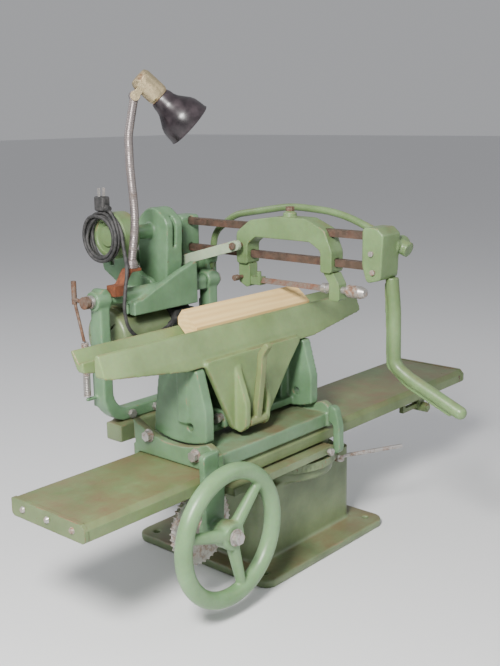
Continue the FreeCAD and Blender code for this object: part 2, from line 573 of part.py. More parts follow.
# ---------------------------------------------------------------- yoke and file
rx = dim("rail_x")
yoke_blank = plate("yoke_arch", "X", rx - 19, 38,
                   [(112, 560, 6), (112, 622, 14), (76, 648, 20), (10, 658, 30), (-60, 658, 16), (-104, 640, 16),
                    (-122, 600, 20), (-122, 560, 6), (-96, 560, 4), (-96, 600, 12), (-70, 615, 12), (64, 615, 12),
                    (84, 600, 12), (84, 560, 4)])
running = []
for name, up in (("upper", dim("rail_upper")), ("lower", dim("rail_lower"))):
    running.append(box(f"yoke_way_{name}", (rx - 7.15, -140, up - 7.15), (14.3, 280, 14.3)))
yoke_boss = [rod("yoke_boss_base", (rx, -10, 650), "Z", 13, 16), rod("yoke_boss_top", (rx, -10, 664), "Z", 9, 5)]
keep(cut("yoke", fuse("yoke_solid", [yoke_blank] + yoke_boss), running), "yoke")
keep(hexagon("yoke_nut_head", (rx, -10, 669.1), "Z", 15, 8), "yoke_nut")
leg_rear = plate("leg_rear", "X", rx - 12, 24,
                 [(112, 559.9), (112, 522, 6), (92, 512, 4), (84, 516, 4), (84, 559.9)])
leg_front = plate("leg_front", "X", rx - 12, 24,
                  [(-98, 559.9), (-112, 540, 8), (-112, 508, 4), (-136, 508, 6), (-134, 540, 8), (-122, 559.9)])
bore_front = rod("leg_front_bore", (rx, -150, 528), "Y", 7.1, 60)
keep(cut("file_leg_front", leg_front, [bore_front]), "file_leg_front")
keep(fuse("tang_solid", [leg_rear, box("tang_block", (rx - 9, 60, 518), (18, 25, 16)),
                         rod("tang_screw", (rx, 70, 533), "Z", 5, 11)]), "file_leg_rear")
file_points = [(rx - 6, 522.6), (rx + 6, 522.6), (rx, 533)]
keep(plate("file_bar", "Y", -90, 149.9, file_points), "file")
keep(fuse("collar_solid", [rod("collar_wide", (rx, -99, 528), "Y", 10, 8.9),
                           rod("collar_neck", (rx, -109, 528), "Y", 8.5, 12),
                           rod("chuck_stem", (rx, -144.9, 528), "Y", 7, 40)]), "file_spindle")
chuck = turned("chuck_body", (rx, -145, 528), Vector(0, -1, 0),
               [(0, 0), (9, 0), (12, 4, 2), (12, 30, 3), (8, 42, 3), (0, 42)])
keep(chuck, "file_chuck")
thumb = fuse("thumb_solid", [rod("thumb_stem", (rx - 12.05, 104, 532), Vector(-1, 0, 0), 4, 16),
                             rod("thumb_head", (rx - 26, 104, 532), Vector(-1, 0, 0), 6, 10)])
pin_z = dim("rod_pin_height")
rod_pin = fuse("rod_pin", [rod("rod_pin_stem", (rx - 42, 100, pin_z), "X", 5, 23),
                           hexagon("rod_pin_head", (rx - 48, 100, pin_z), "X", 13, 6)])
keep(group("yoke_screws", [thumb, rod_pin]), "yoke_screws")

# connecting rod from the yoke's pin back to the crank
rod_way = Vector(0, crank_y - 100, crank_z - throw - pin_z)
rod_long = rod_way.Length
lean = math.degrees(math.atan2(rod_way.z, rod_way.y))
link = plate("link_blank", "X", rx - 41.5, 8,
             [(-14, -10, 9), (rod_long + 14, -10, 9), (rod_long + 14, 10, 9), (-14, 10, 9)],
             [(0, 0, 5.06)])
link.Placement = Placement(Vector(0, 100, pin_z), Rotation(Vector(1, 0, 0), lean))
crank_pin = rod("crank_pin", (rx - 51, crank_y, crank_z - throw), "X", 6, 16)
keep(fuse("rod_and_pin", [link, crank_pin]), "connecting_rod")

# ---------------------------------------------------------------- spring gear
sx = left - 22
keep(fuse("spring_arm_solid", [rod("spring_hub", (sx - 5, back, high), "X", 12, 9),
                               rod("spring_rod", (sx, back, high), Vector(0, 1, 0.1), 4, 36),
                               rod("spring_up", (sx, back + 32, high - 6), "Z", 5, 44),
                               rod("spring_drop", (sx, back + 32, high), Vector(0, -0.3, -1), 3, 78)]),
     "spring_arm")
coil = doc.addObject("Part::Feature", "head_spring")
helix = Part.makeHelix(3.4, 106, 6.0)
ring = Part.Wire(Part.makeCircle(1.3, Vector(6.0, 0, 0), Vector(0, 1, 0.09)))
coil.Shape = Part.Wire(helix).makePipeShell([ring], True, True)
coil.Placement = Placement(Vector(sx, 227, 329.5), Rotation())
keep(coil, "head_spring")

# ---------------------------------------------------------------- lamp
lx = dim("lamp_x")
ly = dim("lamp_y")
lz = dim("lamp_base")
strap = plate("lamp_strap", "Y", ly - 12, 24,
              [(-250, 532.4), (-226, 532.4, 6), (-206, 560, 8), (lx + 14, 560, 2), (lx + 14, 565.9, 2),
               (-209, 565.9, 10), (-229, 538, 8), (-250, 538)])
strap_and_foot = fuse("strap_and_foot", [strap, box("lamp_foot", (-250, ly - 12, 518), (24, 24, 16))])
tube_seat = rod("lamp_tube_seat", (-260, back, high), "X", 14.05, 90)
keep(cut("lamp_strap_seated", strap_and_foot, [tube_seat]), "lamp_bracket")
swivel = turned("lamp_swivel", (lx, ly, lz), "Z", [(0, 0), (13, 0), (13, 8, 2), (10, 16, 2), (0, 16)])
aim = Vector(0.60, -0.42, -0.68).normalize()
tilt_axis = Vector(0.573, 0.819, 0).normalize()
away = aim.cross(tilt_axis).normalize()
if away.z < 0:
    away = away * -1
knuckle = Vector(lx + 24, ly, lz + 320)
neck_points = [(lx, ly, lz + 6), (lx + 15, ly, lz + 90), (lx + 6, ly, lz + 190),
               (lx + 5, ly, lz + 248), tuple(knuckle)]
neck_tube = bent_bar("neck_tube", neck_points, [260, 400, 90], dim("neck_radius"))
eye = rod("neck_eye", tuple(knuckle - tilt_axis * 8.8), tilt_axis, 10, 17.6)
eye_bore = rod("neck_eye_bore", tuple(knuckle - tilt_axis * 20), tilt_axis, 3.06, 40)
keep(cut("neck_bored", fuse("neck_solid", [swivel, neck_tube, eye]), [eye_bore]), "gooseneck")
start = knuckle + away * 31 - aim * 19
barrel = turned("lamp_socket_body", tuple(start), aim,
                [(0, 0), (17, 0, 4), (21, 8, 3), (21, 50, 3), (18, 56, 2), (0, 56)])
ears = []
for index, (inner, outer) in enumerate(((-13, -9.4), (9.4, 13))):
    ears.append(rod(f"socket_ear_{index}", tuple(knuckle + tilt_axis * inner), tilt_axis, 9, outer - inner))
    cheek_piece = box(f"socket_cheek_{index}", (0, 0, 0), (outer - inner, 13, 15))
    across = away.cross(tilt_axis)
    cheek_piece.Placement = Placement(knuckle + tilt_axis * inner - across * 6.5,
                                      Rotation(tilt_axis, across, away, "ZXY"))
    ears.append(cheek_piece)
ears.append(rod("socket_pin", tuple(knuckle - tilt_axis * 13.2), tilt_axis, 3, 26.4))
keep(fuse("socket_solid", [barrel] + ears), "lamp_socket")
shade_start = start + aim * 56.1
shade = turned("lamp_shade_body", tuple(shade_start), aim,
               [(17, 0), (21, 0, 2), (23, 14, 8), (44, 48, 20), (47, 76), (45.6, 76), (42.6, 49, 20),
                (21.4, 15, 8), (17, 1.5)])
keep(shade, "lamp_shade")
keep(turned("lamp_bulb_body", tuple(shade_start + aim * 0.2), aim,
            [(0, 0), (12, 0), (12, 6, 2), (22, 34, 14), (14, 56, 10), (0, 60)]), "lamp_bulb")
side = aim.cross(Vector(0, 0, 1)).normalize()
keep(rod("lamp_switch_key", tuple(start + aim * 26 + side * -21), side * -1, 4, 14), "lamp_switch")

# ---------------------------------------------------------------- cord
hank = doc.addObject("Part::Torus", "cord_coil_ring")
hank.Radius1 = 42
hank.Radius2 = 8
hank.Placement = Placement(Vector(-207.2, drum_y, 622), turn_to("X"))
keep(hank, "cord_coil")
route = [(-207.2, 220.6, 614), (-213, 209, 588), (-226, 184, 566), (-240, 178, 530), (-246, 176, 490),
         (-234, 178, 452), (-196, 184, 428), (-140, 190, 430), (-88.1, 200, 448)]


def arc_radii(points):
    radii = []
    for index in range(1, len(points) - 1):
        here = Vector(*points[index])
        before = Vector(*points[index - 1]) - here
        after = Vector(*points[index + 1]) - here
        turn = math.pi - before.getAngle(after)
        radii.append(0.45 * min(before.Length, after.Length) / math.tan(turn / 2))
    return radii


bends = arc_radii(route)
print("cord radii", [round(value, 1) for value in bends])
cord = bent_bar("cord_run", route, bends, dim("cord_radius"))
keep(cord, "power_cord")
length = bent_path(route, bends).Length
print("cord length", round(length, 1), "volume share",
      round(cord.Shape.Volume / (math.pi * dim("cord_radius") ** 2 * length), 4))
plug = fuse("plug_solid", [box("plug_body", (-218, drum_y - 13, 672.2), (20, 26, 28)),
                           box("plug_blade_a", (-215, drum_y - 3, 700), (2, 7, 16)),
                           box("plug_blade_b", (-203, drum_y - 3, 700), (2, 7, 16))])
keep(plug, "cord_plug")

# ---------------------------------------------------------------- check and write
doc.recompute()
for obj in doc.Objects:
    bad = [state for state in obj.State if state in ("Invalid", "Error")]
    if bad:
        raise RuntimeError(f"{obj.Name}: {obj.State}")
os.makedirs("parts", exist_ok=True)
for label, obj in nodes.items():
    shape = obj.Shape
    if shape.isNull() or not shape.isValid():
        raise RuntimeError(f"{label}: shape is not usable")
    shape.exportStep(f"parts/{label}.step")
print(len(nodes), "nodes written")
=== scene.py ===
import bpy
import math
from mathutils import Matrix, Vector


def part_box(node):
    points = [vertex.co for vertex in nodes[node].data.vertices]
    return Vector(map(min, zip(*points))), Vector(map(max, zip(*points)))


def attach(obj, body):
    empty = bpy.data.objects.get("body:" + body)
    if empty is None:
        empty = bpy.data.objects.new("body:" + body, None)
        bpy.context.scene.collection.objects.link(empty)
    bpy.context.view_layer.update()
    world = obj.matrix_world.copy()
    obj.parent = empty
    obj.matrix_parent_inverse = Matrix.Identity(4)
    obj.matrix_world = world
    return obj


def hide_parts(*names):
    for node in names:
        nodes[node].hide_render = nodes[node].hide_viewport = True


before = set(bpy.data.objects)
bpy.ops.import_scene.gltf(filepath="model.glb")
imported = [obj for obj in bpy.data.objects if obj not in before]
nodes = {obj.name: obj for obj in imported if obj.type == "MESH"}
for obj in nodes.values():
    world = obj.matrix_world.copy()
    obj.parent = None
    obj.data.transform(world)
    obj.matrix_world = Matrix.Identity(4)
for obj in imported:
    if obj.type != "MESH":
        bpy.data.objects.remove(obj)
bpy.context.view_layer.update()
bpy.ops.object.select_all(action="DESELECT")


# ---------------------------------------------------------------- pedestal
# The pedestal is one heavy iron casting, sand cast and brush painted in workshop green.
# Its edges came out of the mould rounded, and the paint has chipped down to rusty iron on them.

def worn_green_paint(name, light, dark, chips=0.5, edge=0.5, grime=0.5):
    material = bpy.data.materials.new(name)
    material.use_nodes = True
    tree = material.node_tree
    tree.nodes.clear()
    new, link = tree.nodes.new, tree.links.new

    tone_frame = new("NodeFrame")
    tone_frame.label = "brushed green, lighter and darker by patches"
    place = new("ShaderNodeTexCoord")
    place.label = "place on the casting"
    place.location = (-1900, 200)
    patches = new("ShaderNodeTexNoise")
    patches.label = "patches of faded paint"
    patches.location = (-1600, 400)
    patches.inputs["Scale"].default_value = 9.0
    patches.inputs["Detail"].default_value = 4.0
    patches.inputs["Roughness"].default_value = 0.6
    tone = new("ShaderNodeValToRGB")
    tone.label = "dark green to pale sage"
    tone.location = (-1350, 400)
    tone.color_ramp.elements[0].position = 0.32
    tone.color_ramp.elements[0].color = (*dark, 1)
    tone.color_ramp.elements[1].position = 0.66
    tone.color_ramp.elements[1].color = (*light, 1)
    speckle = new("ShaderNodeTexNoise")
    speckle.label = "fine dirt in the paint"
    speckle.location = (-1600, 150)
    speckle.inputs["Scale"].default_value = 160.0
    speckle.inputs["Detail"].default_value = 5.0
    dirty = new("ShaderNodeMixRGB")
    dirty.label = "paint with fine dirt"
    dirty.blend_type = "MULTIPLY"
    dirty.location = (-1050, 350)
    dirty.inputs[0].default_value = 0.22
    for node in (patches, tone, speckle, dirty):
        node.parent = tone_frame
    link(place.outputs["Object"], patches.inputs["Vector"])
    link(place.outputs["Object"], speckle.inputs["Vector"])
    link(patches.outputs["Fac"], tone.inputs["Fac"])
    link(tone.outputs["Color"], dirty.inputs[1])
    link(speckle.outputs["Color"], dirty.inputs[2])

    dust_frame = new("NodeFrame")
    dust_frame.label = "brown filings and oil on faces that look up"
    facing = new("ShaderNodeSeparateXYZ")
    facing.label = "how far a face looks up"
    facing.location = (-1600, -100)
    upward = new("ShaderNodeMapRange")
    upward.label = "only nearly level faces"
    upward.location = (-1350, -100)
    upward.inputs["From Min"].default_value = 0.55
    upward.inputs["From Max"].default_value = 0.95
    settle = new("ShaderNodeTexNoise")
    settle.label = "where dust settled"
    settle.location = (-1600, -300)
    settle.inputs["Scale"].default_value = 14.0
    settle.inputs["Detail"].default_value = 6.0
    settle.inputs["Roughness"].default_value = 0.65
    settled = new("ShaderNodeMapRange")
    settled.label = "uneven dust"
    settled.location = (-1350, -330)
    settled.inputs["From Min"].default_value = 0.62 - 0.3 * grime
    settled.inputs["From Max"].default_value = 0.75
    dust = new("ShaderNodeMath")
    dust.label = "dust on top"
    dust.operation = "MULTIPLY"
    dust.location = (-1100, -180)
    film = new("ShaderNodeMixRGB")
    film.label = "dusty paint"
    film.location = (-800, 250)
    film.inputs[2].default_value = (0.16, 0.10, 0.055, 1)
    for node in (facing, upward, settle, settled, dust, film):
        node.parent = dust_frame
    link(place.outputs["Normal"], facing.inputs["Vector"])
    link(facing.outputs["Z"], upward.inputs["Value"])
    link(place.outputs["Object"], settle.inputs["Vector"])
    link(settle.outputs["Fac"], settled.inputs["Value"])
    link(upward.outputs["Result"], dust.inputs[0])
    link(settled.outputs["Result"], dust.inputs[1])
    link(dust.outputs["Value"], film.inputs[0])
    link(dirty.outputs["Color"], film.inputs[1])

    chip_frame = new("NodeFrame")
    chip_frame.label = "chips and worn edges down to rusty iron"
    flakes = new("ShaderNodeTexNoise")
    flakes.label = "flaked patches"
    flakes.location = (-1600, -560)
    flakes.inputs["Scale"].default_value = 26.0
    flakes.inputs["Detail"].default_value = 8.0
    flakes.inputs["Roughness"].default_value = 0.7
    flaked = new("ShaderNodeMapRange")
    flaked.label = "sharp rim of each flake"
    flaked.location = (-1350, -560)
    flaked.inputs["From Min"].default_value = 0.74 - 0.09 * chips
    flaked.inputs["From Max"].default_value = 0.755 - 0.09 * chips
    rounded = new("ShaderNodeBevel")
    rounded.label = "rounded edges"
    rounded.samples = 4
    rounded.location = (-1900, -800)
    rounded.inputs["Radius"].default_value = 0.0022
    surface = new("ShaderNodeNewGeometry")
    surface.label = "face direction"
    surface.location = (-1900, -980)
    along = new("ShaderNodeVectorMath")
    along.label = "edge where the two differ"
    along.operation = "DOT_PRODUCT"
    along.location = (-1600, -850)
    rubbed = new("ShaderNodeMapRange")
    rubbed.label = "edge rubbed bare"
    rubbed.location = (-1350, -850)
    rubbed.inputs["From Min"].default_value = 0.985
    rubbed.inputs["From Max"].default_value = 0.90
    breaks = new("ShaderNodeTexNoise")
    breaks.label = "breaks along the edge"
    breaks.location = (-1600, -1080)
    breaks.inputs["Scale"].default_value = 45.0
    breaks.inputs["Detail"].default_value = 5.0
    broken = new("ShaderNodeMapRange")
    broken.label = "only some of the edge"
    broken.location = (-1350, -1080)
    broken.inputs["From Min"].default_value = 0.68 - 0.2 * edge
    broken.inputs["From Max"].default_value = 0.72 - 0.2 * edge
    worn_edge = new("ShaderNodeMath")
    worn_edge.label = "worn edge"
    worn_edge.operation = "MULTIPLY"
    worn_edge.location = (-1100, -950)
    bare = new("ShaderNodeMath")
    bare.label = "all bare metal"
    bare.operation = "MAXIMUM"
    bare.location = (-850, -700)
    rust_tone = new("ShaderNodeValToRGB")
    rust_tone.label = "pinkish rust to dark iron"
    rust_tone.location = (-850, -450)
    rust_tone.color_ramp.elements[0].position = 0.3
    rust_tone.color_ramp.elements[0].color = (0.09, 0.055, 0.04, 1)
    rust_tone.color_ramp.elements[1].position = 0.68
    rust_tone.color_ramp.elements[1].color = (0.33, 0.15, 0.085, 1)
    coat = new("ShaderNodeMixRGB")
    coat.label = "paint, dust and bare metal"
    coat.location = (-500, 200)
    for node in (flakes, flaked, rounded, surface, along, rubbed, breaks, broken, worn_edge, bare,
                 rust_tone, coat):
        node.parent = chip_frame
    link(place.outputs["Object"], flakes.inputs["Vector"])
    link(flakes.outputs["Fac"], flaked.inputs["Value"])
    link(rounded.outputs["Normal"], along.inputs[0])
    link(surface.outputs["True Normal"], along.inputs[1])
    link(along.outputs["Value"], rubbed.inputs["Value"])
    link(place.outputs["Object"], breaks.inputs["Vector"])
    link(breaks.outputs["Fac"], broken.inputs["Value"])
    link(rubbed.outputs["Result"], worn_edge.inputs[0])
    link(broken.outputs["Result"], worn_edge.inputs[1])
    link(flaked.outputs["Result"], bare.inputs[0])
    link(worn_edge.outputs["Value"], bare.inputs[1])
    link(breaks.outputs["Fac"], rust_tone.inputs["Fac"])
    link(bare.outputs["Value"], coat.inputs[0])
    link(film.outputs["Color"], coat.inputs[1])
    link(rust_tone.outputs["Color"], coat.inputs[2])

    skin_frame = new("NodeFrame")
    skin_frame.label = "cast skin under the paint, and its gloss"
    sand = new("ShaderNodeTexNoise")
    sand.label = "sand cast lumps"
    sand.location = (-1050, -1150)
    sand.inputs["Scale"].default_value = 70.0
    sand.inputs["Detail"].default_value = 6.0
    sand.inputs["Roughness"].default_value = 0.55
    depth = new("ShaderNodeMath")
    depth.label = "chips lie lower"
    depth.operation = "SUBTRACT"
    depth.location = (-700, -1050)
    bump = new("ShaderNodeBump")
    bump.label = "lumps and chip rims"
    bump.location = (-450, -900)
    bump.inputs["Strength"].default_value = 0.35
    bump.inputs["Distance"].default_value = 0.0012
    gloss = new("ShaderNodeMapRange")
    gloss.label = "glossy paint, dull rust"
    gloss.location = (-450, -500)
    gloss.inputs["To Min"].default_value = 0.36
    gloss.inputs["To Max"].default_value = 0.82
    for node in (sand, depth, bump, gloss):
        node.parent = skin_frame
    link(place.outputs["Object"], sand.inputs["Vector"])
    link(sand.outputs["Fac"], depth.inputs[0])
    link(bare.outputs["Value"], depth.inputs[1])
    link(depth.outputs["Value"], bump.inputs["Height"])
    link(rounded.outputs["Normal"], bump.inputs["Normal"])
    link(bare.outputs["Value"], gloss.inputs["Value"])

    shader = new("ShaderNodeBsdfPrincipled")
    shader.label = "old enamel"
    shader.location = (-150, 100)
    shader.inputs["Metallic"].default_value = 0.0
    shader.inputs["Specular IOR Level"].default_value = 0.5
    result = new("ShaderNodeOutputMaterial")
    result.label = "finish"
    result.location = (150, 100)
    link(coat.outputs["Color"], shader.inputs["Base Color"])
    link(gloss.outputs["Result"], shader.inputs["Roughness"])
    link(bump.outputs["Normal"], shader.inputs["Normal"])
    link(shader.outputs["BSDF"], result.inputs["Surface"])
    return material


def coat_nodes(material, *names):
    for name in names:
        nodes[name].data.materials.clear()
        nodes[name].data.materials.append(material)


def soften_casting(name, node, body, voxel, material):
    # a copy of the machined outline whose corners are rounded as a mould leaves them
    bpy.ops.object.select_all(action="DESELECT")
    nodes[node].select_set(True)
    bpy.context.view_layer.objects.active = nodes[node]
    bpy.ops.object.duplicate()
    piece = bpy.context.view_layer.objects.active
    piece.name = name
    piece.parent = None
    for key in list(piece.keys()):
        del piece[key]
    bpy.ops.object.mode_set(mode="EDIT")
    bpy.ops.mesh.select_all(action="SELECT")
    bpy.ops.mesh.remove_doubles(threshold=0.00002)
    bpy.ops.object.mode_set(mode="OBJECT")
    cast = piece.modifiers.new("cast", "REMESH")
    cast.mode = "VOXEL"
    cast.voxel_size = voxel
    bpy.ops.object.modifier_apply(modifier="cast")
    worn = piece.modifiers.new("worn", "SMOOTH")
    worn.factor = 0.5
    worn.iterations = 3
    bpy.ops.object.modifier_apply(modifier="worn")
    bpy.ops.object.shade_smooth()
    piece.data.materials.clear()
    piece.data.materials.append(material)
    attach(piece, body)
    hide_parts(node)
    piece.select_set(False)
    return piece


sage = (0.185, 0.285, 0.125)
olive = (0.11, 0.17, 0.065)
mint = (0.165, 0.295, 0.165)
cast_green = worn_green_paint("cast_green", sage, olive, chips=0.35, edge=0.5, grime=0.5)
# a darker copy of the green paint, with more dust: painted shade for the pedestal, motor, swivel disc and
# gib, which sit in shadow under the bed and the head
painted_shade_green = worn_green_paint("painted_shade_green", (0.20, 0.26, 0.13), (0.11, 0.15, 0.07),
                                chips=0.5, edge=0.5, grime=0.9)
mint_green = worn_green_paint("mint_green", mint, (0.09, 0.175, 0.085), chips=0.35, edge=0.5, grime=0.3)
soften_casting("pedestal_casting", "pedestal", "base", 0.0035, painted_shade_green)
soften_casting("fork_casting", "head_fork", "base", 0.0026, mint_green)

# ---------------------------------------------------------------- bare steel
# Screws, pins and shafts are turned from bar and never painted.
# They have gone dull, with brown rust in the low places.


def rusty_steel(name, bright, rust, amount, metal=0.75, grain=120.0):
    material = bpy.data.materials.new(name)
    material.use_nodes = True
    tree = material.node_tree
    tree.nodes.clear()
    new, link = tree.nodes.new, tree.links.new

    rust_frame = new("NodeFrame")
    rust_frame.label = "rust bloom on steel"
    place = new("ShaderNodeTexCoord")
    place.label = "place on the steel"
    place.location = (-1300, 0)
    bloom = new("ShaderNodeTexNoise")
    bloom.label = "rust bloom"
    bloom.location = (-1050, 150)
    bloom.inputs["Scale"].default_value = 55.0
    bloom.inputs["Detail"].default_value = 8.0
    bloom.inputs["Roughness"].default_value = 0.68
    spread = new("ShaderNodeMapRange")
    spread.label = "how far the rust has spread"
    spread.location = (-800, 150)
    spread.inputs["From Min"].default_value = 0.62 - 0.34 * amount
    spread.inputs["From Max"].default_value = 0.78 - 0.34 * amount
    shades = new("ShaderNodeTexNoise")
    shades.label = "light and dark rust"
    shades.location = (-1050, -120)
    shades.inputs["Scale"].default_value = grain
    shades.inputs["Detail"].default_value = 4.0
    rust_tone = new("ShaderNodeValToRGB")
    rust_tone.label = "dark scale to rust"
    rust_tone.location = (-800, -120)
    rust_tone.color_ramp.elements[0].position = 0.3
    rust_tone.color_ramp.elements[0].color = (rust[0] * 0.4, rust[1] * 0.4, rust[2] * 0.45, 1)
    rust_tone.color_ramp.elements[1].position = 0.7
    rust_tone.color_ramp.elements[1].color = (*rust, 1)
    skin = new("ShaderNodeMixRGB")
    skin.label = "steel and rust"
    skin.location = (-500, 60)
    skin.inputs[1].default_value = (*bright, 1)
    for node in (bloom, spread, shades, rust_tone, skin):
        node.parent = rust_frame
    link(place.outputs["Object"], bloom.inputs["Vector"])
    link(place.outputs["Object"], shades.inputs["Vector"])
    link(bloom.outputs["Fac"], spread.inputs["Value"])
    link(shades.outputs["Fac"], rust_tone.inputs["Fac"])
    link(spread.outputs["Result"], skin.inputs[0])
    link(rust_tone.outputs["Color"], skin.inputs[2])

    gloss_frame = new("NodeFrame")
    gloss_frame.label = "shine only where the steel is clean"
    shine = new("ShaderNodeMapRange")
    shine.label = "dull where rusty"
    shine.location = (-500, -200)
    shine.inputs["To Min"].default_value = 0.34
    shine.inputs["To Max"].default_value = 0.85
    metallic = new("ShaderNodeMapRange")
    metallic.label = "metal where clean"
    metallic.location = (-500, -420)
    metallic.inputs["To Min"].default_value = metal
    metallic.inputs["To Max"].default_value = 0.05
    rounded = new("ShaderNodeBevel")
    rounded.label = "rounded edges"
    rounded.samples = 4
    rounded.location = (-500, -760)
    rounded.inputs["Radius"].default_value = 0.0008
    bump = new("ShaderNodeBump")
    bump.label = "pitted skin"
    bump.location = (-250, -600)
    bump.inputs["Strength"].default_value = 0.3
    bump.inputs["Distance"].default_value = 0.0005
    for node in (shine, metallic, rounded, bump):
        node.parent = gloss_frame
    link(spread.outputs["Result"], shine.inputs["Value"])
    link(spread.outputs["Result"], metallic.inputs["Value"])
    link(shades.outputs["Fac"], bump.inputs["Height"])
    link(rounded.outputs["Normal"], bump.inputs["Normal"])

    shader = new("ShaderNodeBsdfPrincipled")
    shader.label = "steel"
    shader.location = (0, 0)
    result = new("ShaderNodeOutputMaterial")
    result.label = "finish"
    result.location = (300, 0)
    link(skin.outputs["Color"], shader.inputs["Base Color"])
    link(shine.outputs["Result"], shader.inputs["Roughness"])
    link(metallic.outputs["Result"], shader.inputs["Metallic"])
    link(bump.outputs["Normal"], shader.inputs["Normal"])
    link(shader.outputs["BSDF"], result.inputs["Surface"])
    return material


dull_steel = rusty_steel("dull_steel", (0.46, 0.44, 0.42), (0.26, 0.14, 0.08), 0.45)
brown_steel = rusty_steel("brown_steel", (0.20, 0.15, 0.12), (0.16, 0.08, 0.045), 0.7, metal=0.55)
coat_nodes(dull_steel, "pivot_pins", "fork_bolts", "swivel_clamp", "bed_rack", "drive_gear", "vise_rod",
           "rail_screws", "head_spring", "wheel_nut", "bed_end_screws", "saddle_bolts")
coat_nodes(brown_steel, "yoke_nut", "yoke_screws", "spring_arm")

# ---------------------------------------------------------------- bed
# The bed is a long channel of heavy plate with a plate screwed over each end.
# It turns on a round cast disc that has angle marks cut in its rim.
bed_green = worn_green_paint("bed_green", (0.175, 0.235, 0.10), (0.10, 0.14, 0.05),
                             chips=0.9, edge=0.9, grime=0.8)
coat_nodes(bed_green, "bed_table", "bed_end_left", "bed_end_right", "bed_foot")
# the swivel disc and gib take the darker green, painted shade
coat_nodes(painted_shade_green, "swivel_disc", "saddle_gib")

# ---------------------------------------------------------------- saddle
# The saddle straddles the bed. It is an iron casting with two cheeks that cradle the vise,
# an arm down its front, and a hanger bolted on for the handwheel shaft.
saddle_green = worn_green_paint("saddle_green", mint, (0.10, 0.175, 0.08), chips=0.5, edge=0.8, grime=1.0)
soften_casting("saddle_casting", "saddle", "carriage", 0.0024, saddle_green)
soften_casting("saddle_arm_casting", "saddle_arm", "carriage", 0.0016, mint_green)
soften_casting("wheel_hanger_casting", "wheel_bracket", "carriage", 0.0018, mint_green)

# ---------------------------------------------------------------- handwheel
# A cast handwheel with a fat round rim and three tapered spokes that flow into rim and hub.
# It is painted, and keyed on a steel shaft held by a nut.
wheel_low, wheel_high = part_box("handwheel")
wheel_centre = (wheel_low + wheel_high) / 2
wheel_radius = (wheel_high.x - wheel_low.x) / 2
shaft_low, shaft_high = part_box("wheel_nut")
wheel_centre.x = (shaft_low.x + shaft_high.x) / 2
wheel_centre.z = (shaft_low.z + shaft_high.z) / 2
rim_plane = -0.142
rim_round = 0.0152
bpy.ops.mesh.primitive_torus_add(location=(wheel_centre.x, rim_plane, wheel_centre.z),
                                 rotation=(math.pi / 2, 0, 0), major_segments=120, minor_segments=28,
                                 major_radius=wheel_radius - rim_round, minor_radius=rim_round)
wheel = bpy.context.view_layer.objects.active
wheel.name = "wheel_casting"
bpy.ops.object.transform_apply(location=True, rotation=True, scale=True)
bpy.ops.object.mode_set(mode="EDIT")
bpy.ops.mesh.primitive_cylinder_add(vertices=48, radius=0.0245, depth=0.031,
                                    location=(wheel_centre.x, rim_plane + 0.0045, wheel_centre.z),
                                    rotation=(math.pi / 2, 0, 0))
spoke_reach = wheel_radius - 0.018
for turn in range(3):
    angle = math.radians(45 + 120 * turn)
    way = Vector((math.cos(angle), 0, math.sin(angle)))
    middle = Vector((wheel_centre.x, rim_plane, wheel_centre.z)) + way * spoke_reach / 2
    bpy.ops.mesh.primitive_cone_add(vertices=24, radius1=0.0125, radius2=0.0088, depth=spoke_reach,
                                    location=middle, rotation=(0, math.pi / 2 - angle, 0))
bpy.ops.object.mode_set(mode="OBJECT")
blend = wheel.modifiers.new("cast", "REMESH")
blend.mode = "VOXEL"
blend.voxel_size = 0.0017
bpy.ops.object.modifier_apply(modifier="cast")
fillet = wheel.modifiers.new("fillet", "SMOOTH")
fillet.factor = 0.6
fillet.iterations = 9
bpy.ops.object.modifier_apply(modifier="fillet")
bpy.ops.object.shade_smooth()
wheel_green = worn_green_paint("wheel_green", (0.22, 0.37, 0.185), (0.15, 0.265, 0.12),
                               chips=0.12, edge=0.3, grime=0.15)
wheel.data.materials.append(wheel_green)
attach(wheel, "wheel")
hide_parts("handwheel")
wheel.select_set(False)

# ---------------------------------------------------------------- vise
# The saw vise is two long cast jaws on a rocking cradle. The front one hinges on a rod and is
# closed by a cranked lever whose paint has worn to brown where it is held.
jaw_green = worn_green_paint("jaw_green", (0.225, 0.315, 0.13), (0.145, 0.21, 0.08),
                             chips=0.35, edge=0.9, grime=0.6)
soften_casting("cradle_casting", "vise_cradle", "cradle", 0.0024, mint_green)
soften_casting("rear_jaw_casting", "rear_jaw", "cradle", 0.0020, jaw_green)
soften_casting("front_jaw_casting", "front_jaw", "jaw", 0.0022, jaw_green)
lever_green = worn_green_paint("lever_green", (0.20, 0.25, 0.10), (0.13, 0.13, 0.05),
                               chips=0.9, edge=0.95, grime=0.4)
soften_casting("lever_forging", "clamp_lever", "jaw_lever", 0.0011, lever_green)

# ---------------------------------------------------------------- head
# The head is a casting hinged between the fork's arms. It carries two square ground rails,
# a front casting, a bow over them and the operator's long handle.
soften_casting("head_body_casting", "head_casting", "head", 0.0024, mint_green)
soften_casting("front_end_casting", "front_casting", "head", 0.0014, cast_green)
soften_casting("handle_casting", "head_handle", "head", 0.0016, cast_green)
coat_nodes(cast_green, "head_bow", "belt_guard")
rail_steel = rusty_steel("rail_steel", (0.12, 0.085, 0.065), (0.115, 0.06, 0.038), 0.6, metal=0.6, grain=60.0)
coat_nodes(rail_steel, "rail_upper", "rail_lower")
soften_casting("yoke_casting", "yoke", "stroke", 0.0014, cast_green)
coat_nodes(cast_green, "file_leg_rear", "file_leg_front")

# ---------------------------------------------------------------- drive
# A small fractional-power motor hangs behind the head and turns a crank.
# A flat link, painted paler than the rest, pulls the yoke to and fro.
link_green = worn_green_paint("link_green", (0.42, 0.50, 0.35), (0.27, 0.35, 0.24),
                              chips=0.45, edge=0.6, grime=0.2)
coat_nodes(link_green, "connecting_rod")
# the motor takes the darker green, painted shade
coat_nodes(painted_shade_green, "motor", "motor_bell")
coat_nodes(dull_steel, "crank_disc")


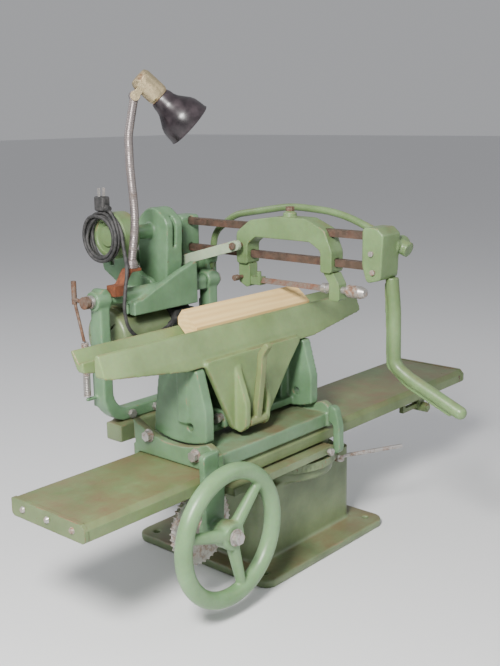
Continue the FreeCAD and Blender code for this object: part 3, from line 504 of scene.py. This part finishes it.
def black_enamel(name, colour, roughness, bump_scale):
    material = bpy.data.materials.new(name)
    material.use_nodes = True
    tree = material.node_tree
    tree.nodes.clear()
    new, link = tree.nodes.new, tree.links.new
    place = new("ShaderNodeTexCoord")
    place.label = "place on the piece"
    place.location = (-1000, 0)
    scuffs = new("ShaderNodeTexNoise")
    scuffs.label = "scuffs and dust"
    scuffs.location = (-780, 100)
    scuffs.inputs["Scale"].default_value = bump_scale
    scuffs.inputs["Detail"].default_value = 7.0
    tone = new("ShaderNodeValToRGB")
    tone.label = "black to dusty black"
    tone.location = (-540, 150)
    tone.color_ramp.elements[0].position = 0.4
    tone.color_ramp.elements[0].color = (*colour, 1)
    tone.color_ramp.elements[1].position = 0.85
    dusty = (colour[0] * 3 + 0.02, colour[1] * 3 + 0.015, colour[2] * 3 + 0.015)
    tone.color_ramp.elements[1].color = (*dusty, 1)
    gloss = new("ShaderNodeMapRange")
    gloss.label = "duller where scuffed"
    gloss.location = (-540, -120)
    gloss.inputs["To Min"].default_value = roughness
    gloss.inputs["To Max"].default_value = roughness + 0.3
    bump = new("ShaderNodeBump")
    bump.label = "orange peel"
    bump.location = (-300, -250)
    bump.inputs["Strength"].default_value = 0.12
    bump.inputs["Distance"].default_value = 0.0004
    shader = new("ShaderNodeBsdfPrincipled")
    shader.label = "enamel"
    shader.location = (-50, 0)
    result = new("ShaderNodeOutputMaterial")
    result.label = "finish"
    result.location = (250, 0)
    link(place.outputs["Object"], scuffs.inputs["Vector"])
    link(scuffs.outputs["Fac"], tone.inputs["Fac"])
    link(scuffs.outputs["Fac"], gloss.inputs["Value"])
    link(scuffs.outputs["Fac"], bump.inputs["Height"])
    link(tone.outputs["Color"], shader.inputs["Base Color"])
    link(gloss.outputs["Result"], shader.inputs["Roughness"])
    link(bump.outputs["Normal"], shader.inputs["Normal"])
    link(shader.outputs["BSDF"], result.inputs["Surface"])
    return material


motor_black = black_enamel("motor_black", (0.02, 0.02, 0.02), 0.4, 60.0)
coat_nodes(motor_black, "motor_cap", "motor_terminal")

# ---------------------------------------------------------------- file
# A three-square file held between two legs by a screwed tang block and a knurled chuck.
file_steel = rusty_steel("file_steel", (0.22, 0.18, 0.15), (0.22, 0.10, 0.06), 0.6, metal=0.7, grain=420.0)
coat_nodes(file_steel, "file")
coat_nodes(dull_steel, "file_spindle", "file_chuck")

# ---------------------------------------------------------------- board
# A bare offcut of pale softwood, sawn square, clamped in the jaws.


def bare_pine():
    material = bpy.data.materials.new("bare_pine")
    material.use_nodes = True
    tree = material.node_tree
    tree.nodes.clear()
    new, link = tree.nodes.new, tree.links.new
    place = new("ShaderNodeTexCoord")
    place.label = "place on the board"
    place.location = (-1400, 0)
    stretch = new("ShaderNodeMapping")
    stretch.label = "grain runs along the board"
    stretch.location = (-1200, 0)
    stretch.inputs["Scale"].default_value = (1.2, 16.0, 16.0)
    wander = new("ShaderNodeTexNoise")
    wander.label = "grain that wanders"
    wander.location = (-980, 150)
    wander.inputs["Scale"].default_value = 5.0
    wander.inputs["Detail"].default_value = 6.0
    rings = new("ShaderNodeTexWave")
    rings.label = "growth rings"
    rings.location = (-980, -150)
    rings.bands_direction = "Z"
    rings.inputs["Scale"].default_value = 2.6
    rings.inputs["Distortion"].default_value = 5.0
    rings.inputs["Detail"].default_value = 3.0
    grain = new("ShaderNodeMixRGB")
    grain.label = "rings and grain"
    grain.location = (-740, 0)
    grain.inputs[0].default_value = 0.75
    tone = new("ShaderNodeValToRGB")
    tone.label = "late wood to early wood"
    tone.location = (-520, 50)
    tone.color_ramp.elements[0].position = 0.25
    tone.color_ramp.elements[0].color = (0.66, 0.43, 0.17, 1)
    tone.color_ramp.elements[1].position = 0.7
    tone.color_ramp.elements[1].color = (0.78, 0.56, 0.25, 1)
    bump = new("ShaderNodeBump")
    bump.label = "sawn surface"
    bump.location = (-520, -250)
    bump.inputs["Strength"].default_value = 0.25
    bump.inputs["Distance"].default_value = 0.0006
    shader = new("ShaderNodeBsdfPrincipled")
    shader.label = "bare wood"
    shader.location = (-200, 0)
    shader.inputs["Roughness"].default_value = 0.75
    result = new("ShaderNodeOutputMaterial")
    result.label = "finish"
    result.location = (100, 0)
    link(place.outputs["Object"], stretch.inputs["Vector"])
    link(stretch.outputs["Vector"], wander.inputs["Vector"])
    link(stretch.outputs["Vector"], rings.inputs["Vector"])
    link(rings.outputs["Fac"], grain.inputs[1])
    link(wander.outputs["Fac"], grain.inputs[2])
    link(grain.outputs["Color"], tone.inputs["Fac"])
    link(grain.outputs["Color"], bump.inputs["Height"])
    link(tone.outputs["Color"], shader.inputs["Base Color"])
    link(bump.outputs["Normal"], shader.inputs["Normal"])
    link(shader.outputs["BSDF"], result.inputs["Surface"])
    return material


coat_nodes(bare_pine(), "wood_board")

# ---------------------------------------------------------------- lamp
# A workshop lamp: a flexible metal neck on a bent steel strap, a pale brass socket shell,
# and a spun steel shade, black outside and white inside.
strap_rust = rusty_steel("strap_rust", (0.20, 0.07, 0.03), (0.21, 0.065, 0.025), 0.95, metal=0.15)
coat_nodes(strap_rust, "lamp_bracket")
neck_steel = rusty_steel("neck_steel", (0.27, 0.235, 0.23), (0.16, 0.12, 0.10), 0.35, metal=0.75)
coat_nodes(neck_steel, "gooseneck")
socket_brass = rusty_steel("socket_brass", (0.52, 0.43, 0.26), (0.20, 0.12, 0.06), 0.35, metal=0.85)
coat_nodes(socket_brass, "lamp_socket")
neck_ribs = neck_steel.node_tree.nodes.new("ShaderNodeTexWave")
neck_ribs.label = "wound strip of the neck"
neck_ribs.location = (-800, -420)
neck_ribs.bands_direction = "Z"
neck_ribs.inputs["Scale"].default_value = 95.0
for node in neck_steel.node_tree.nodes:
    if node.label == "pitted skin":
        node.inputs["Distance"].default_value = 0.0008
        node.inputs["Strength"].default_value = 0.5
        neck_steel.node_tree.links.new(neck_ribs.outputs["Fac"], node.inputs["Height"])
    if node.label == "place on the steel":
        neck_steel.node_tree.links.new(node.outputs["Object"], neck_ribs.inputs["Vector"])

aim = Vector((0.60, -0.42, -0.68)).normalized()
shade_mouth = Vector((-0.1668, 0.2024, 0.9208)) + aim * 0.0561
turn_to_aim = Vector((0, 0, 1)).rotation_difference(aim).to_matrix().to_4x4()
profile = [(0.0185, 0.0005), (0.0200, 0.0), (0.0222, 0.006), (0.0232, 0.014), (0.0262, 0.022),
           (0.0330, 0.032),
           (0.0400, 0.042), (0.0435, 0.050), (0.0455, 0.062), (0.0464, 0.0735), (0.0473, 0.0745),
           (0.0473, 0.0757), (0.0462, 0.0764), (0.0452, 0.0758), (0.0450, 0.0740), (0.0442, 0.062),
           (0.0422, 0.0505), (0.0388, 0.0430), (0.0318, 0.0332), (0.0250, 0.0232), (0.0219, 0.0150),
           (0.0208, 0.0065), (0.0192, 0.0030)]
bpy.ops.object.select_all(action="DESELECT")
bpy.ops.mesh.primitive_circle_add(vertices=64, radius=profile[0][0], location=(0, 0, profile[0][1]))
spun_shade = bpy.context.view_layer.objects.active
spun_shade.name = "spun_shade"
bpy.ops.object.transform_apply(location=True, rotation=True, scale=True)
bpy.ops.object.mode_set(mode="EDIT")
bpy.ops.mesh.select_mode(type="EDGE")
bpy.ops.mesh.select_all(action="SELECT")
for (before, low), (after, high) in zip(profile, profile[1:]):
    bpy.ops.mesh.extrude_region_move(TRANSFORM_OT_translate={"value": (0, 0, high - low)})
    bpy.ops.transform.resize(value=(after / before, after / before, 1), center_override=(0, 0, high))
bpy.ops.mesh.select_all(action="SELECT")
bpy.ops.mesh.select_non_manifold(extend=False)
bpy.ops.mesh.bridge_edge_loops()
bpy.ops.mesh.select_all(action="SELECT")
bpy.ops.mesh.normals_make_consistent(inside=False)
bpy.ops.object.mode_set(mode="OBJECT")
bpy.ops.object.shade_smooth_by_angle(angle=0.6)
spun_shade.matrix_world = Matrix.Translation(shade_mouth) @ turn_to_aim
bpy.ops.object.transform_apply(location=True, rotation=True, scale=True)
shade_black = black_enamel("shade_black", (0.012, 0.009, 0.011), 0.16, 40.0)
shade_white = black_enamel("shade_white", (0.24, 0.15, 0.165), 0.45, 25.0)
spun_shade.data.materials.append(shade_black)
spun_shade.data.materials.append(shade_white)
for face in spun_shade.data.polygons:
    out = face.center - shade_mouth
    if (out - aim * out.dot(aim)).dot(face.normal) < 0:
        face.material_index = 1
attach(spun_shade, "lamp")
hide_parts("lamp_shade")
spun_shade.select_set(False)
coat_nodes(shade_black, "lamp_switch")
bulb_glass = black_enamel("bulb_glass", (0.55, 0.50, 0.45), 0.2, 30.0)
coat_nodes(bulb_glass, "lamp_bulb")

# ---------------------------------------------------------------- cord
# A round rubber lead leaves the motor's terminal box, hangs in a loop, and is wound loosely
# on the head beside the drum. A moulded plug that takes its lead from the side ends it.
rubber = black_enamel("rubber", (0.02, 0.02, 0.02), 0.5, 90.0)
exit_point = (-0.0881, 0.200, 0.448)
route = [exit_point, (-0.140, 0.190, 0.430), (-0.196, 0.184, 0.428), (-0.234, 0.178, 0.452),
         (-0.246, 0.176, 0.490), (-0.240, 0.178, 0.530), (-0.226, 0.184, 0.566), (-0.213, 0.204, 0.590)]
lanes = [(-0.2032, 0.0470), (-0.2032, 0.0396), (-0.2105, 0.0396), (-0.2178, 0.0396), (-0.2178, 0.0470),
         (-0.2105, 0.0470)]
hank_y, hank_z = 0.270, 0.622
shift = 60                       # degrees in which one lane eases over to the next
for turned in range(0, 1831, 15):
    lane, share = divmod(turned + shift // 2, 300)
    lane = min(lane, 5)
    across, out = lanes[lane]
    if lane > 0 and share < shift and turned < 1531:
        eased = 0.5 - 0.5 * math.cos(math.pi * share / shift)
        last_across, last_out = lanes[lane - 1]
        across = last_across + (across - last_across) * eased
        out = last_out + (out - last_out) * eased
    coming_in = max(0, 1 - turned / 60) ** 2
    across -= 0.003 * coming_in
    out += 0.0065 * coming_in
    angle = math.radians(189 - turned)
    route.append((across, hank_y + out * math.cos(angle), hank_z + out * math.sin(angle)))
route += [(-0.2094, 0.2345, 0.6585), (-0.2084, 0.2475, 0.6735), (-0.2080, 0.2640, 0.6780)]
lead_curve = bpy.data.curves.new("power_lead", "CURVE")
lead_curve.dimensions = "3D"
lead_curve.bevel_depth = 0.0035
lead_curve.bevel_resolution = 4
lead_curve.resolution_u = 5
lead_curve.use_fill_caps = True
line = lead_curve.splines.new("NURBS")
line.points.add(len(route) - 1)
for point, place in zip(line.points, route):
    point.co = (*place, 1)
line.order_u = 3
line.use_endpoint_u = True
lead = bpy.data.objects.new("power_lead", lead_curve)
bpy.context.scene.collection.objects.link(lead)
lead.data.materials.append(rubber)

plug_low, plug_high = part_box("cord_plug")
bpy.ops.object.select_all(action="DESELECT")
plug_x, plug_y = (plug_low.x + plug_high.x) / 2, (plug_low.y + plug_high.y) / 2
bpy.ops.mesh.primitive_cube_add(size=1, location=(plug_x, plug_y, plug_low.z + 0.014),
                                scale=(0.020, 0.026, 0.028))
plug = bpy.context.view_layer.objects.active
plug.name = "moulded_plug"
bpy.ops.object.transform_apply(location=True, rotation=True, scale=True)
bpy.ops.object.mode_set(mode="EDIT")
bpy.ops.mesh.select_all(action="SELECT")
bpy.ops.mesh.bevel(offset=0.0035, segments=3)
bpy.ops.mesh.primitive_cone_add(vertices=24, radius1=0.0046, radius2=0.0072, depth=0.012,
                                location=(-0.208, plug_low.y - 0.0035, plug_low.z + 0.0054),
                                rotation=(-math.pi / 2, 0, 0))
for blade in (-0.006, 0.006):
    bpy.ops.mesh.primitive_cube_add(size=1, location=(-0.208 + blade, plug_y + 0.0005,
                                                      plug_high.z - 0.0085), scale=(0.0016, 0.0064, 0.0169))
bpy.ops.mesh.select_all(action="SELECT")
bpy.ops.mesh.normals_make_consistent(inside=False)
bpy.ops.object.mode_set(mode="OBJECT")
bpy.ops.object.shade_smooth_by_angle(angle=0.7)
plug.data.materials.append(rubber)
plug.data.materials.append(dull_steel)
for face in plug.data.polygons:
    if face.center.z > plug_low.z + 0.0285:
        face.material_index = 1
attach(plug, "head")
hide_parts("cord_plug")
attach(lead, "head")
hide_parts("power_cord", "cord_coil")
bpy.ops.object.select_all(action="DESELECT")

# A short ribbed rubber sleeve, moulded on the lead, keeps it from kinking where it leaves
# the terminal box.
leaving = (Vector(route[1]) - Vector(exit_point)).normalized()
bpy.ops.mesh.primitive_cylinder_add(vertices=32, radius=0.0074, depth=0.0012, location=(0, 0, 0.0006))
sleeve = bpy.context.view_layer.objects.active
sleeve.name = "lead_sleeve"
bpy.ops.object.transform_apply(location=True, rotation=True, scale=True)
bpy.ops.object.mode_set(mode="EDIT")
bpy.ops.mesh.select_mode(type="FACE")
bpy.ops.mesh.select_all(action="DESELECT")
bpy.ops.object.mode_set(mode="OBJECT")
for face in sleeve.data.polygons:
    face.select = face.normal.z > 0.9
bpy.ops.object.mode_set(mode="EDIT")
for rib in range(8):
    high = 0.0012 + 0.0026 * rib
    for rise, size in ((0.0, 0.86), (0.0014, 1.0), (0.0, 1.13), (0.0012, 1.0)):
        bpy.ops.mesh.extrude_region_move(TRANSFORM_OT_translate={"value": (0, 0, rise)})
        high += rise
        bpy.ops.transform.resize(value=(size, size, 1), center_override=(0, 0, high))
bpy.ops.object.mode_set(mode="OBJECT")
bpy.ops.object.shade_smooth_by_angle(angle=0.5)
sleeve.matrix_world = (Matrix.Translation(Vector(exit_point) - leaving * 0.001)
                       @ Vector((0, 0, 1)).rotation_difference(leaving).to_matrix().to_4x4())
bpy.ops.object.transform_apply(location=True, rotation=True, scale=True)
sleeve.data.materials.append(rubber)
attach(sleeve, "head")
bpy.ops.object.select_all(action="DESELECT")

# ---------------------------------------------------------------- studio
# A pale floor under a pale grey world, a broad soft key light from the left of the camera,
# and a weaker fill and back light, so that the machine stands in even daylight.
bpy.ops.object.select_all(action="DESELECT")
bpy.ops.mesh.primitive_plane_add(size=60, location=(0, 0, 0))
floor = bpy.context.view_layer.objects.active
floor.name = "floor"
floor_paint = bpy.data.materials.new("floor_paint")
floor_paint.use_nodes = True
floor_shader = floor_paint.node_tree.nodes["Principled BSDF"]
floor_shader.inputs["Base Color"].default_value = (0.74, 0.74, 0.75, 1)
floor_shader.inputs["Roughness"].default_value = 0.85
floor.data.materials.append(floor_paint)

world = bpy.data.worlds.new("daylight")
bpy.context.scene.world = world
world.use_nodes = True
world.node_tree.nodes["Background"].inputs["Color"].default_value = (0.80, 0.81, 0.84, 1)
world.node_tree.nodes["Background"].inputs["Strength"].default_value = 0.50

camera_place = Vector((-1.4196, -1.1610, 0.850))
camera_right = Vector((0.65537, -0.75520, -0.01276))
camera_up = Vector((0.17609, 0.13634, 0.97489))
camera_back = camera_right.cross(camera_up)


def soft_light(name, place, target, size, power, colour):
    bpy.ops.object.light_add(type="AREA", location=place)
    lamp = bpy.context.view_layer.objects.active
    lamp.name = name
    lamp.data.size = size
    lamp.data.energy = power
    lamp.data.color = colour
    lamp.rotation_euler = (Vector(target) - Vector(place)).to_track_quat("-Z", "Y").to_euler()
    return lamp


key_place = camera_place + camera_up * 0.75 - camera_right * 0.45
soft_light("key", key_place, (-0.05, 0, 0.4), 0.45, 88, (1, 0.99, 0.96))
soft_light("fill", (1.6, -2.2, 1.9), (0, 0, 0.35), 1.8, 20, (0.95, 0.97, 1))
soft_light("back", (-1.0, 2.3, 2.2), (0, 0, 0.4), 1.8, 24, (0.95, 0.97, 1))

bpy.ops.object.camera_add()
camera = bpy.context.view_layer.objects.active
camera.matrix_world = Matrix((
    (camera_right.x, camera_up.x, camera_back.x, camera_place.x),
    (camera_right.y, camera_up.y, camera_back.y, camera_place.y),
    (camera_right.z, camera_up.z, camera_back.z, camera_place.z),
    (0, 0, 0, 1)))
camera.data.sensor_width = 36
camera.data.lens = 51.86
camera.data.clip_end = 100
bpy.context.scene.camera = camera
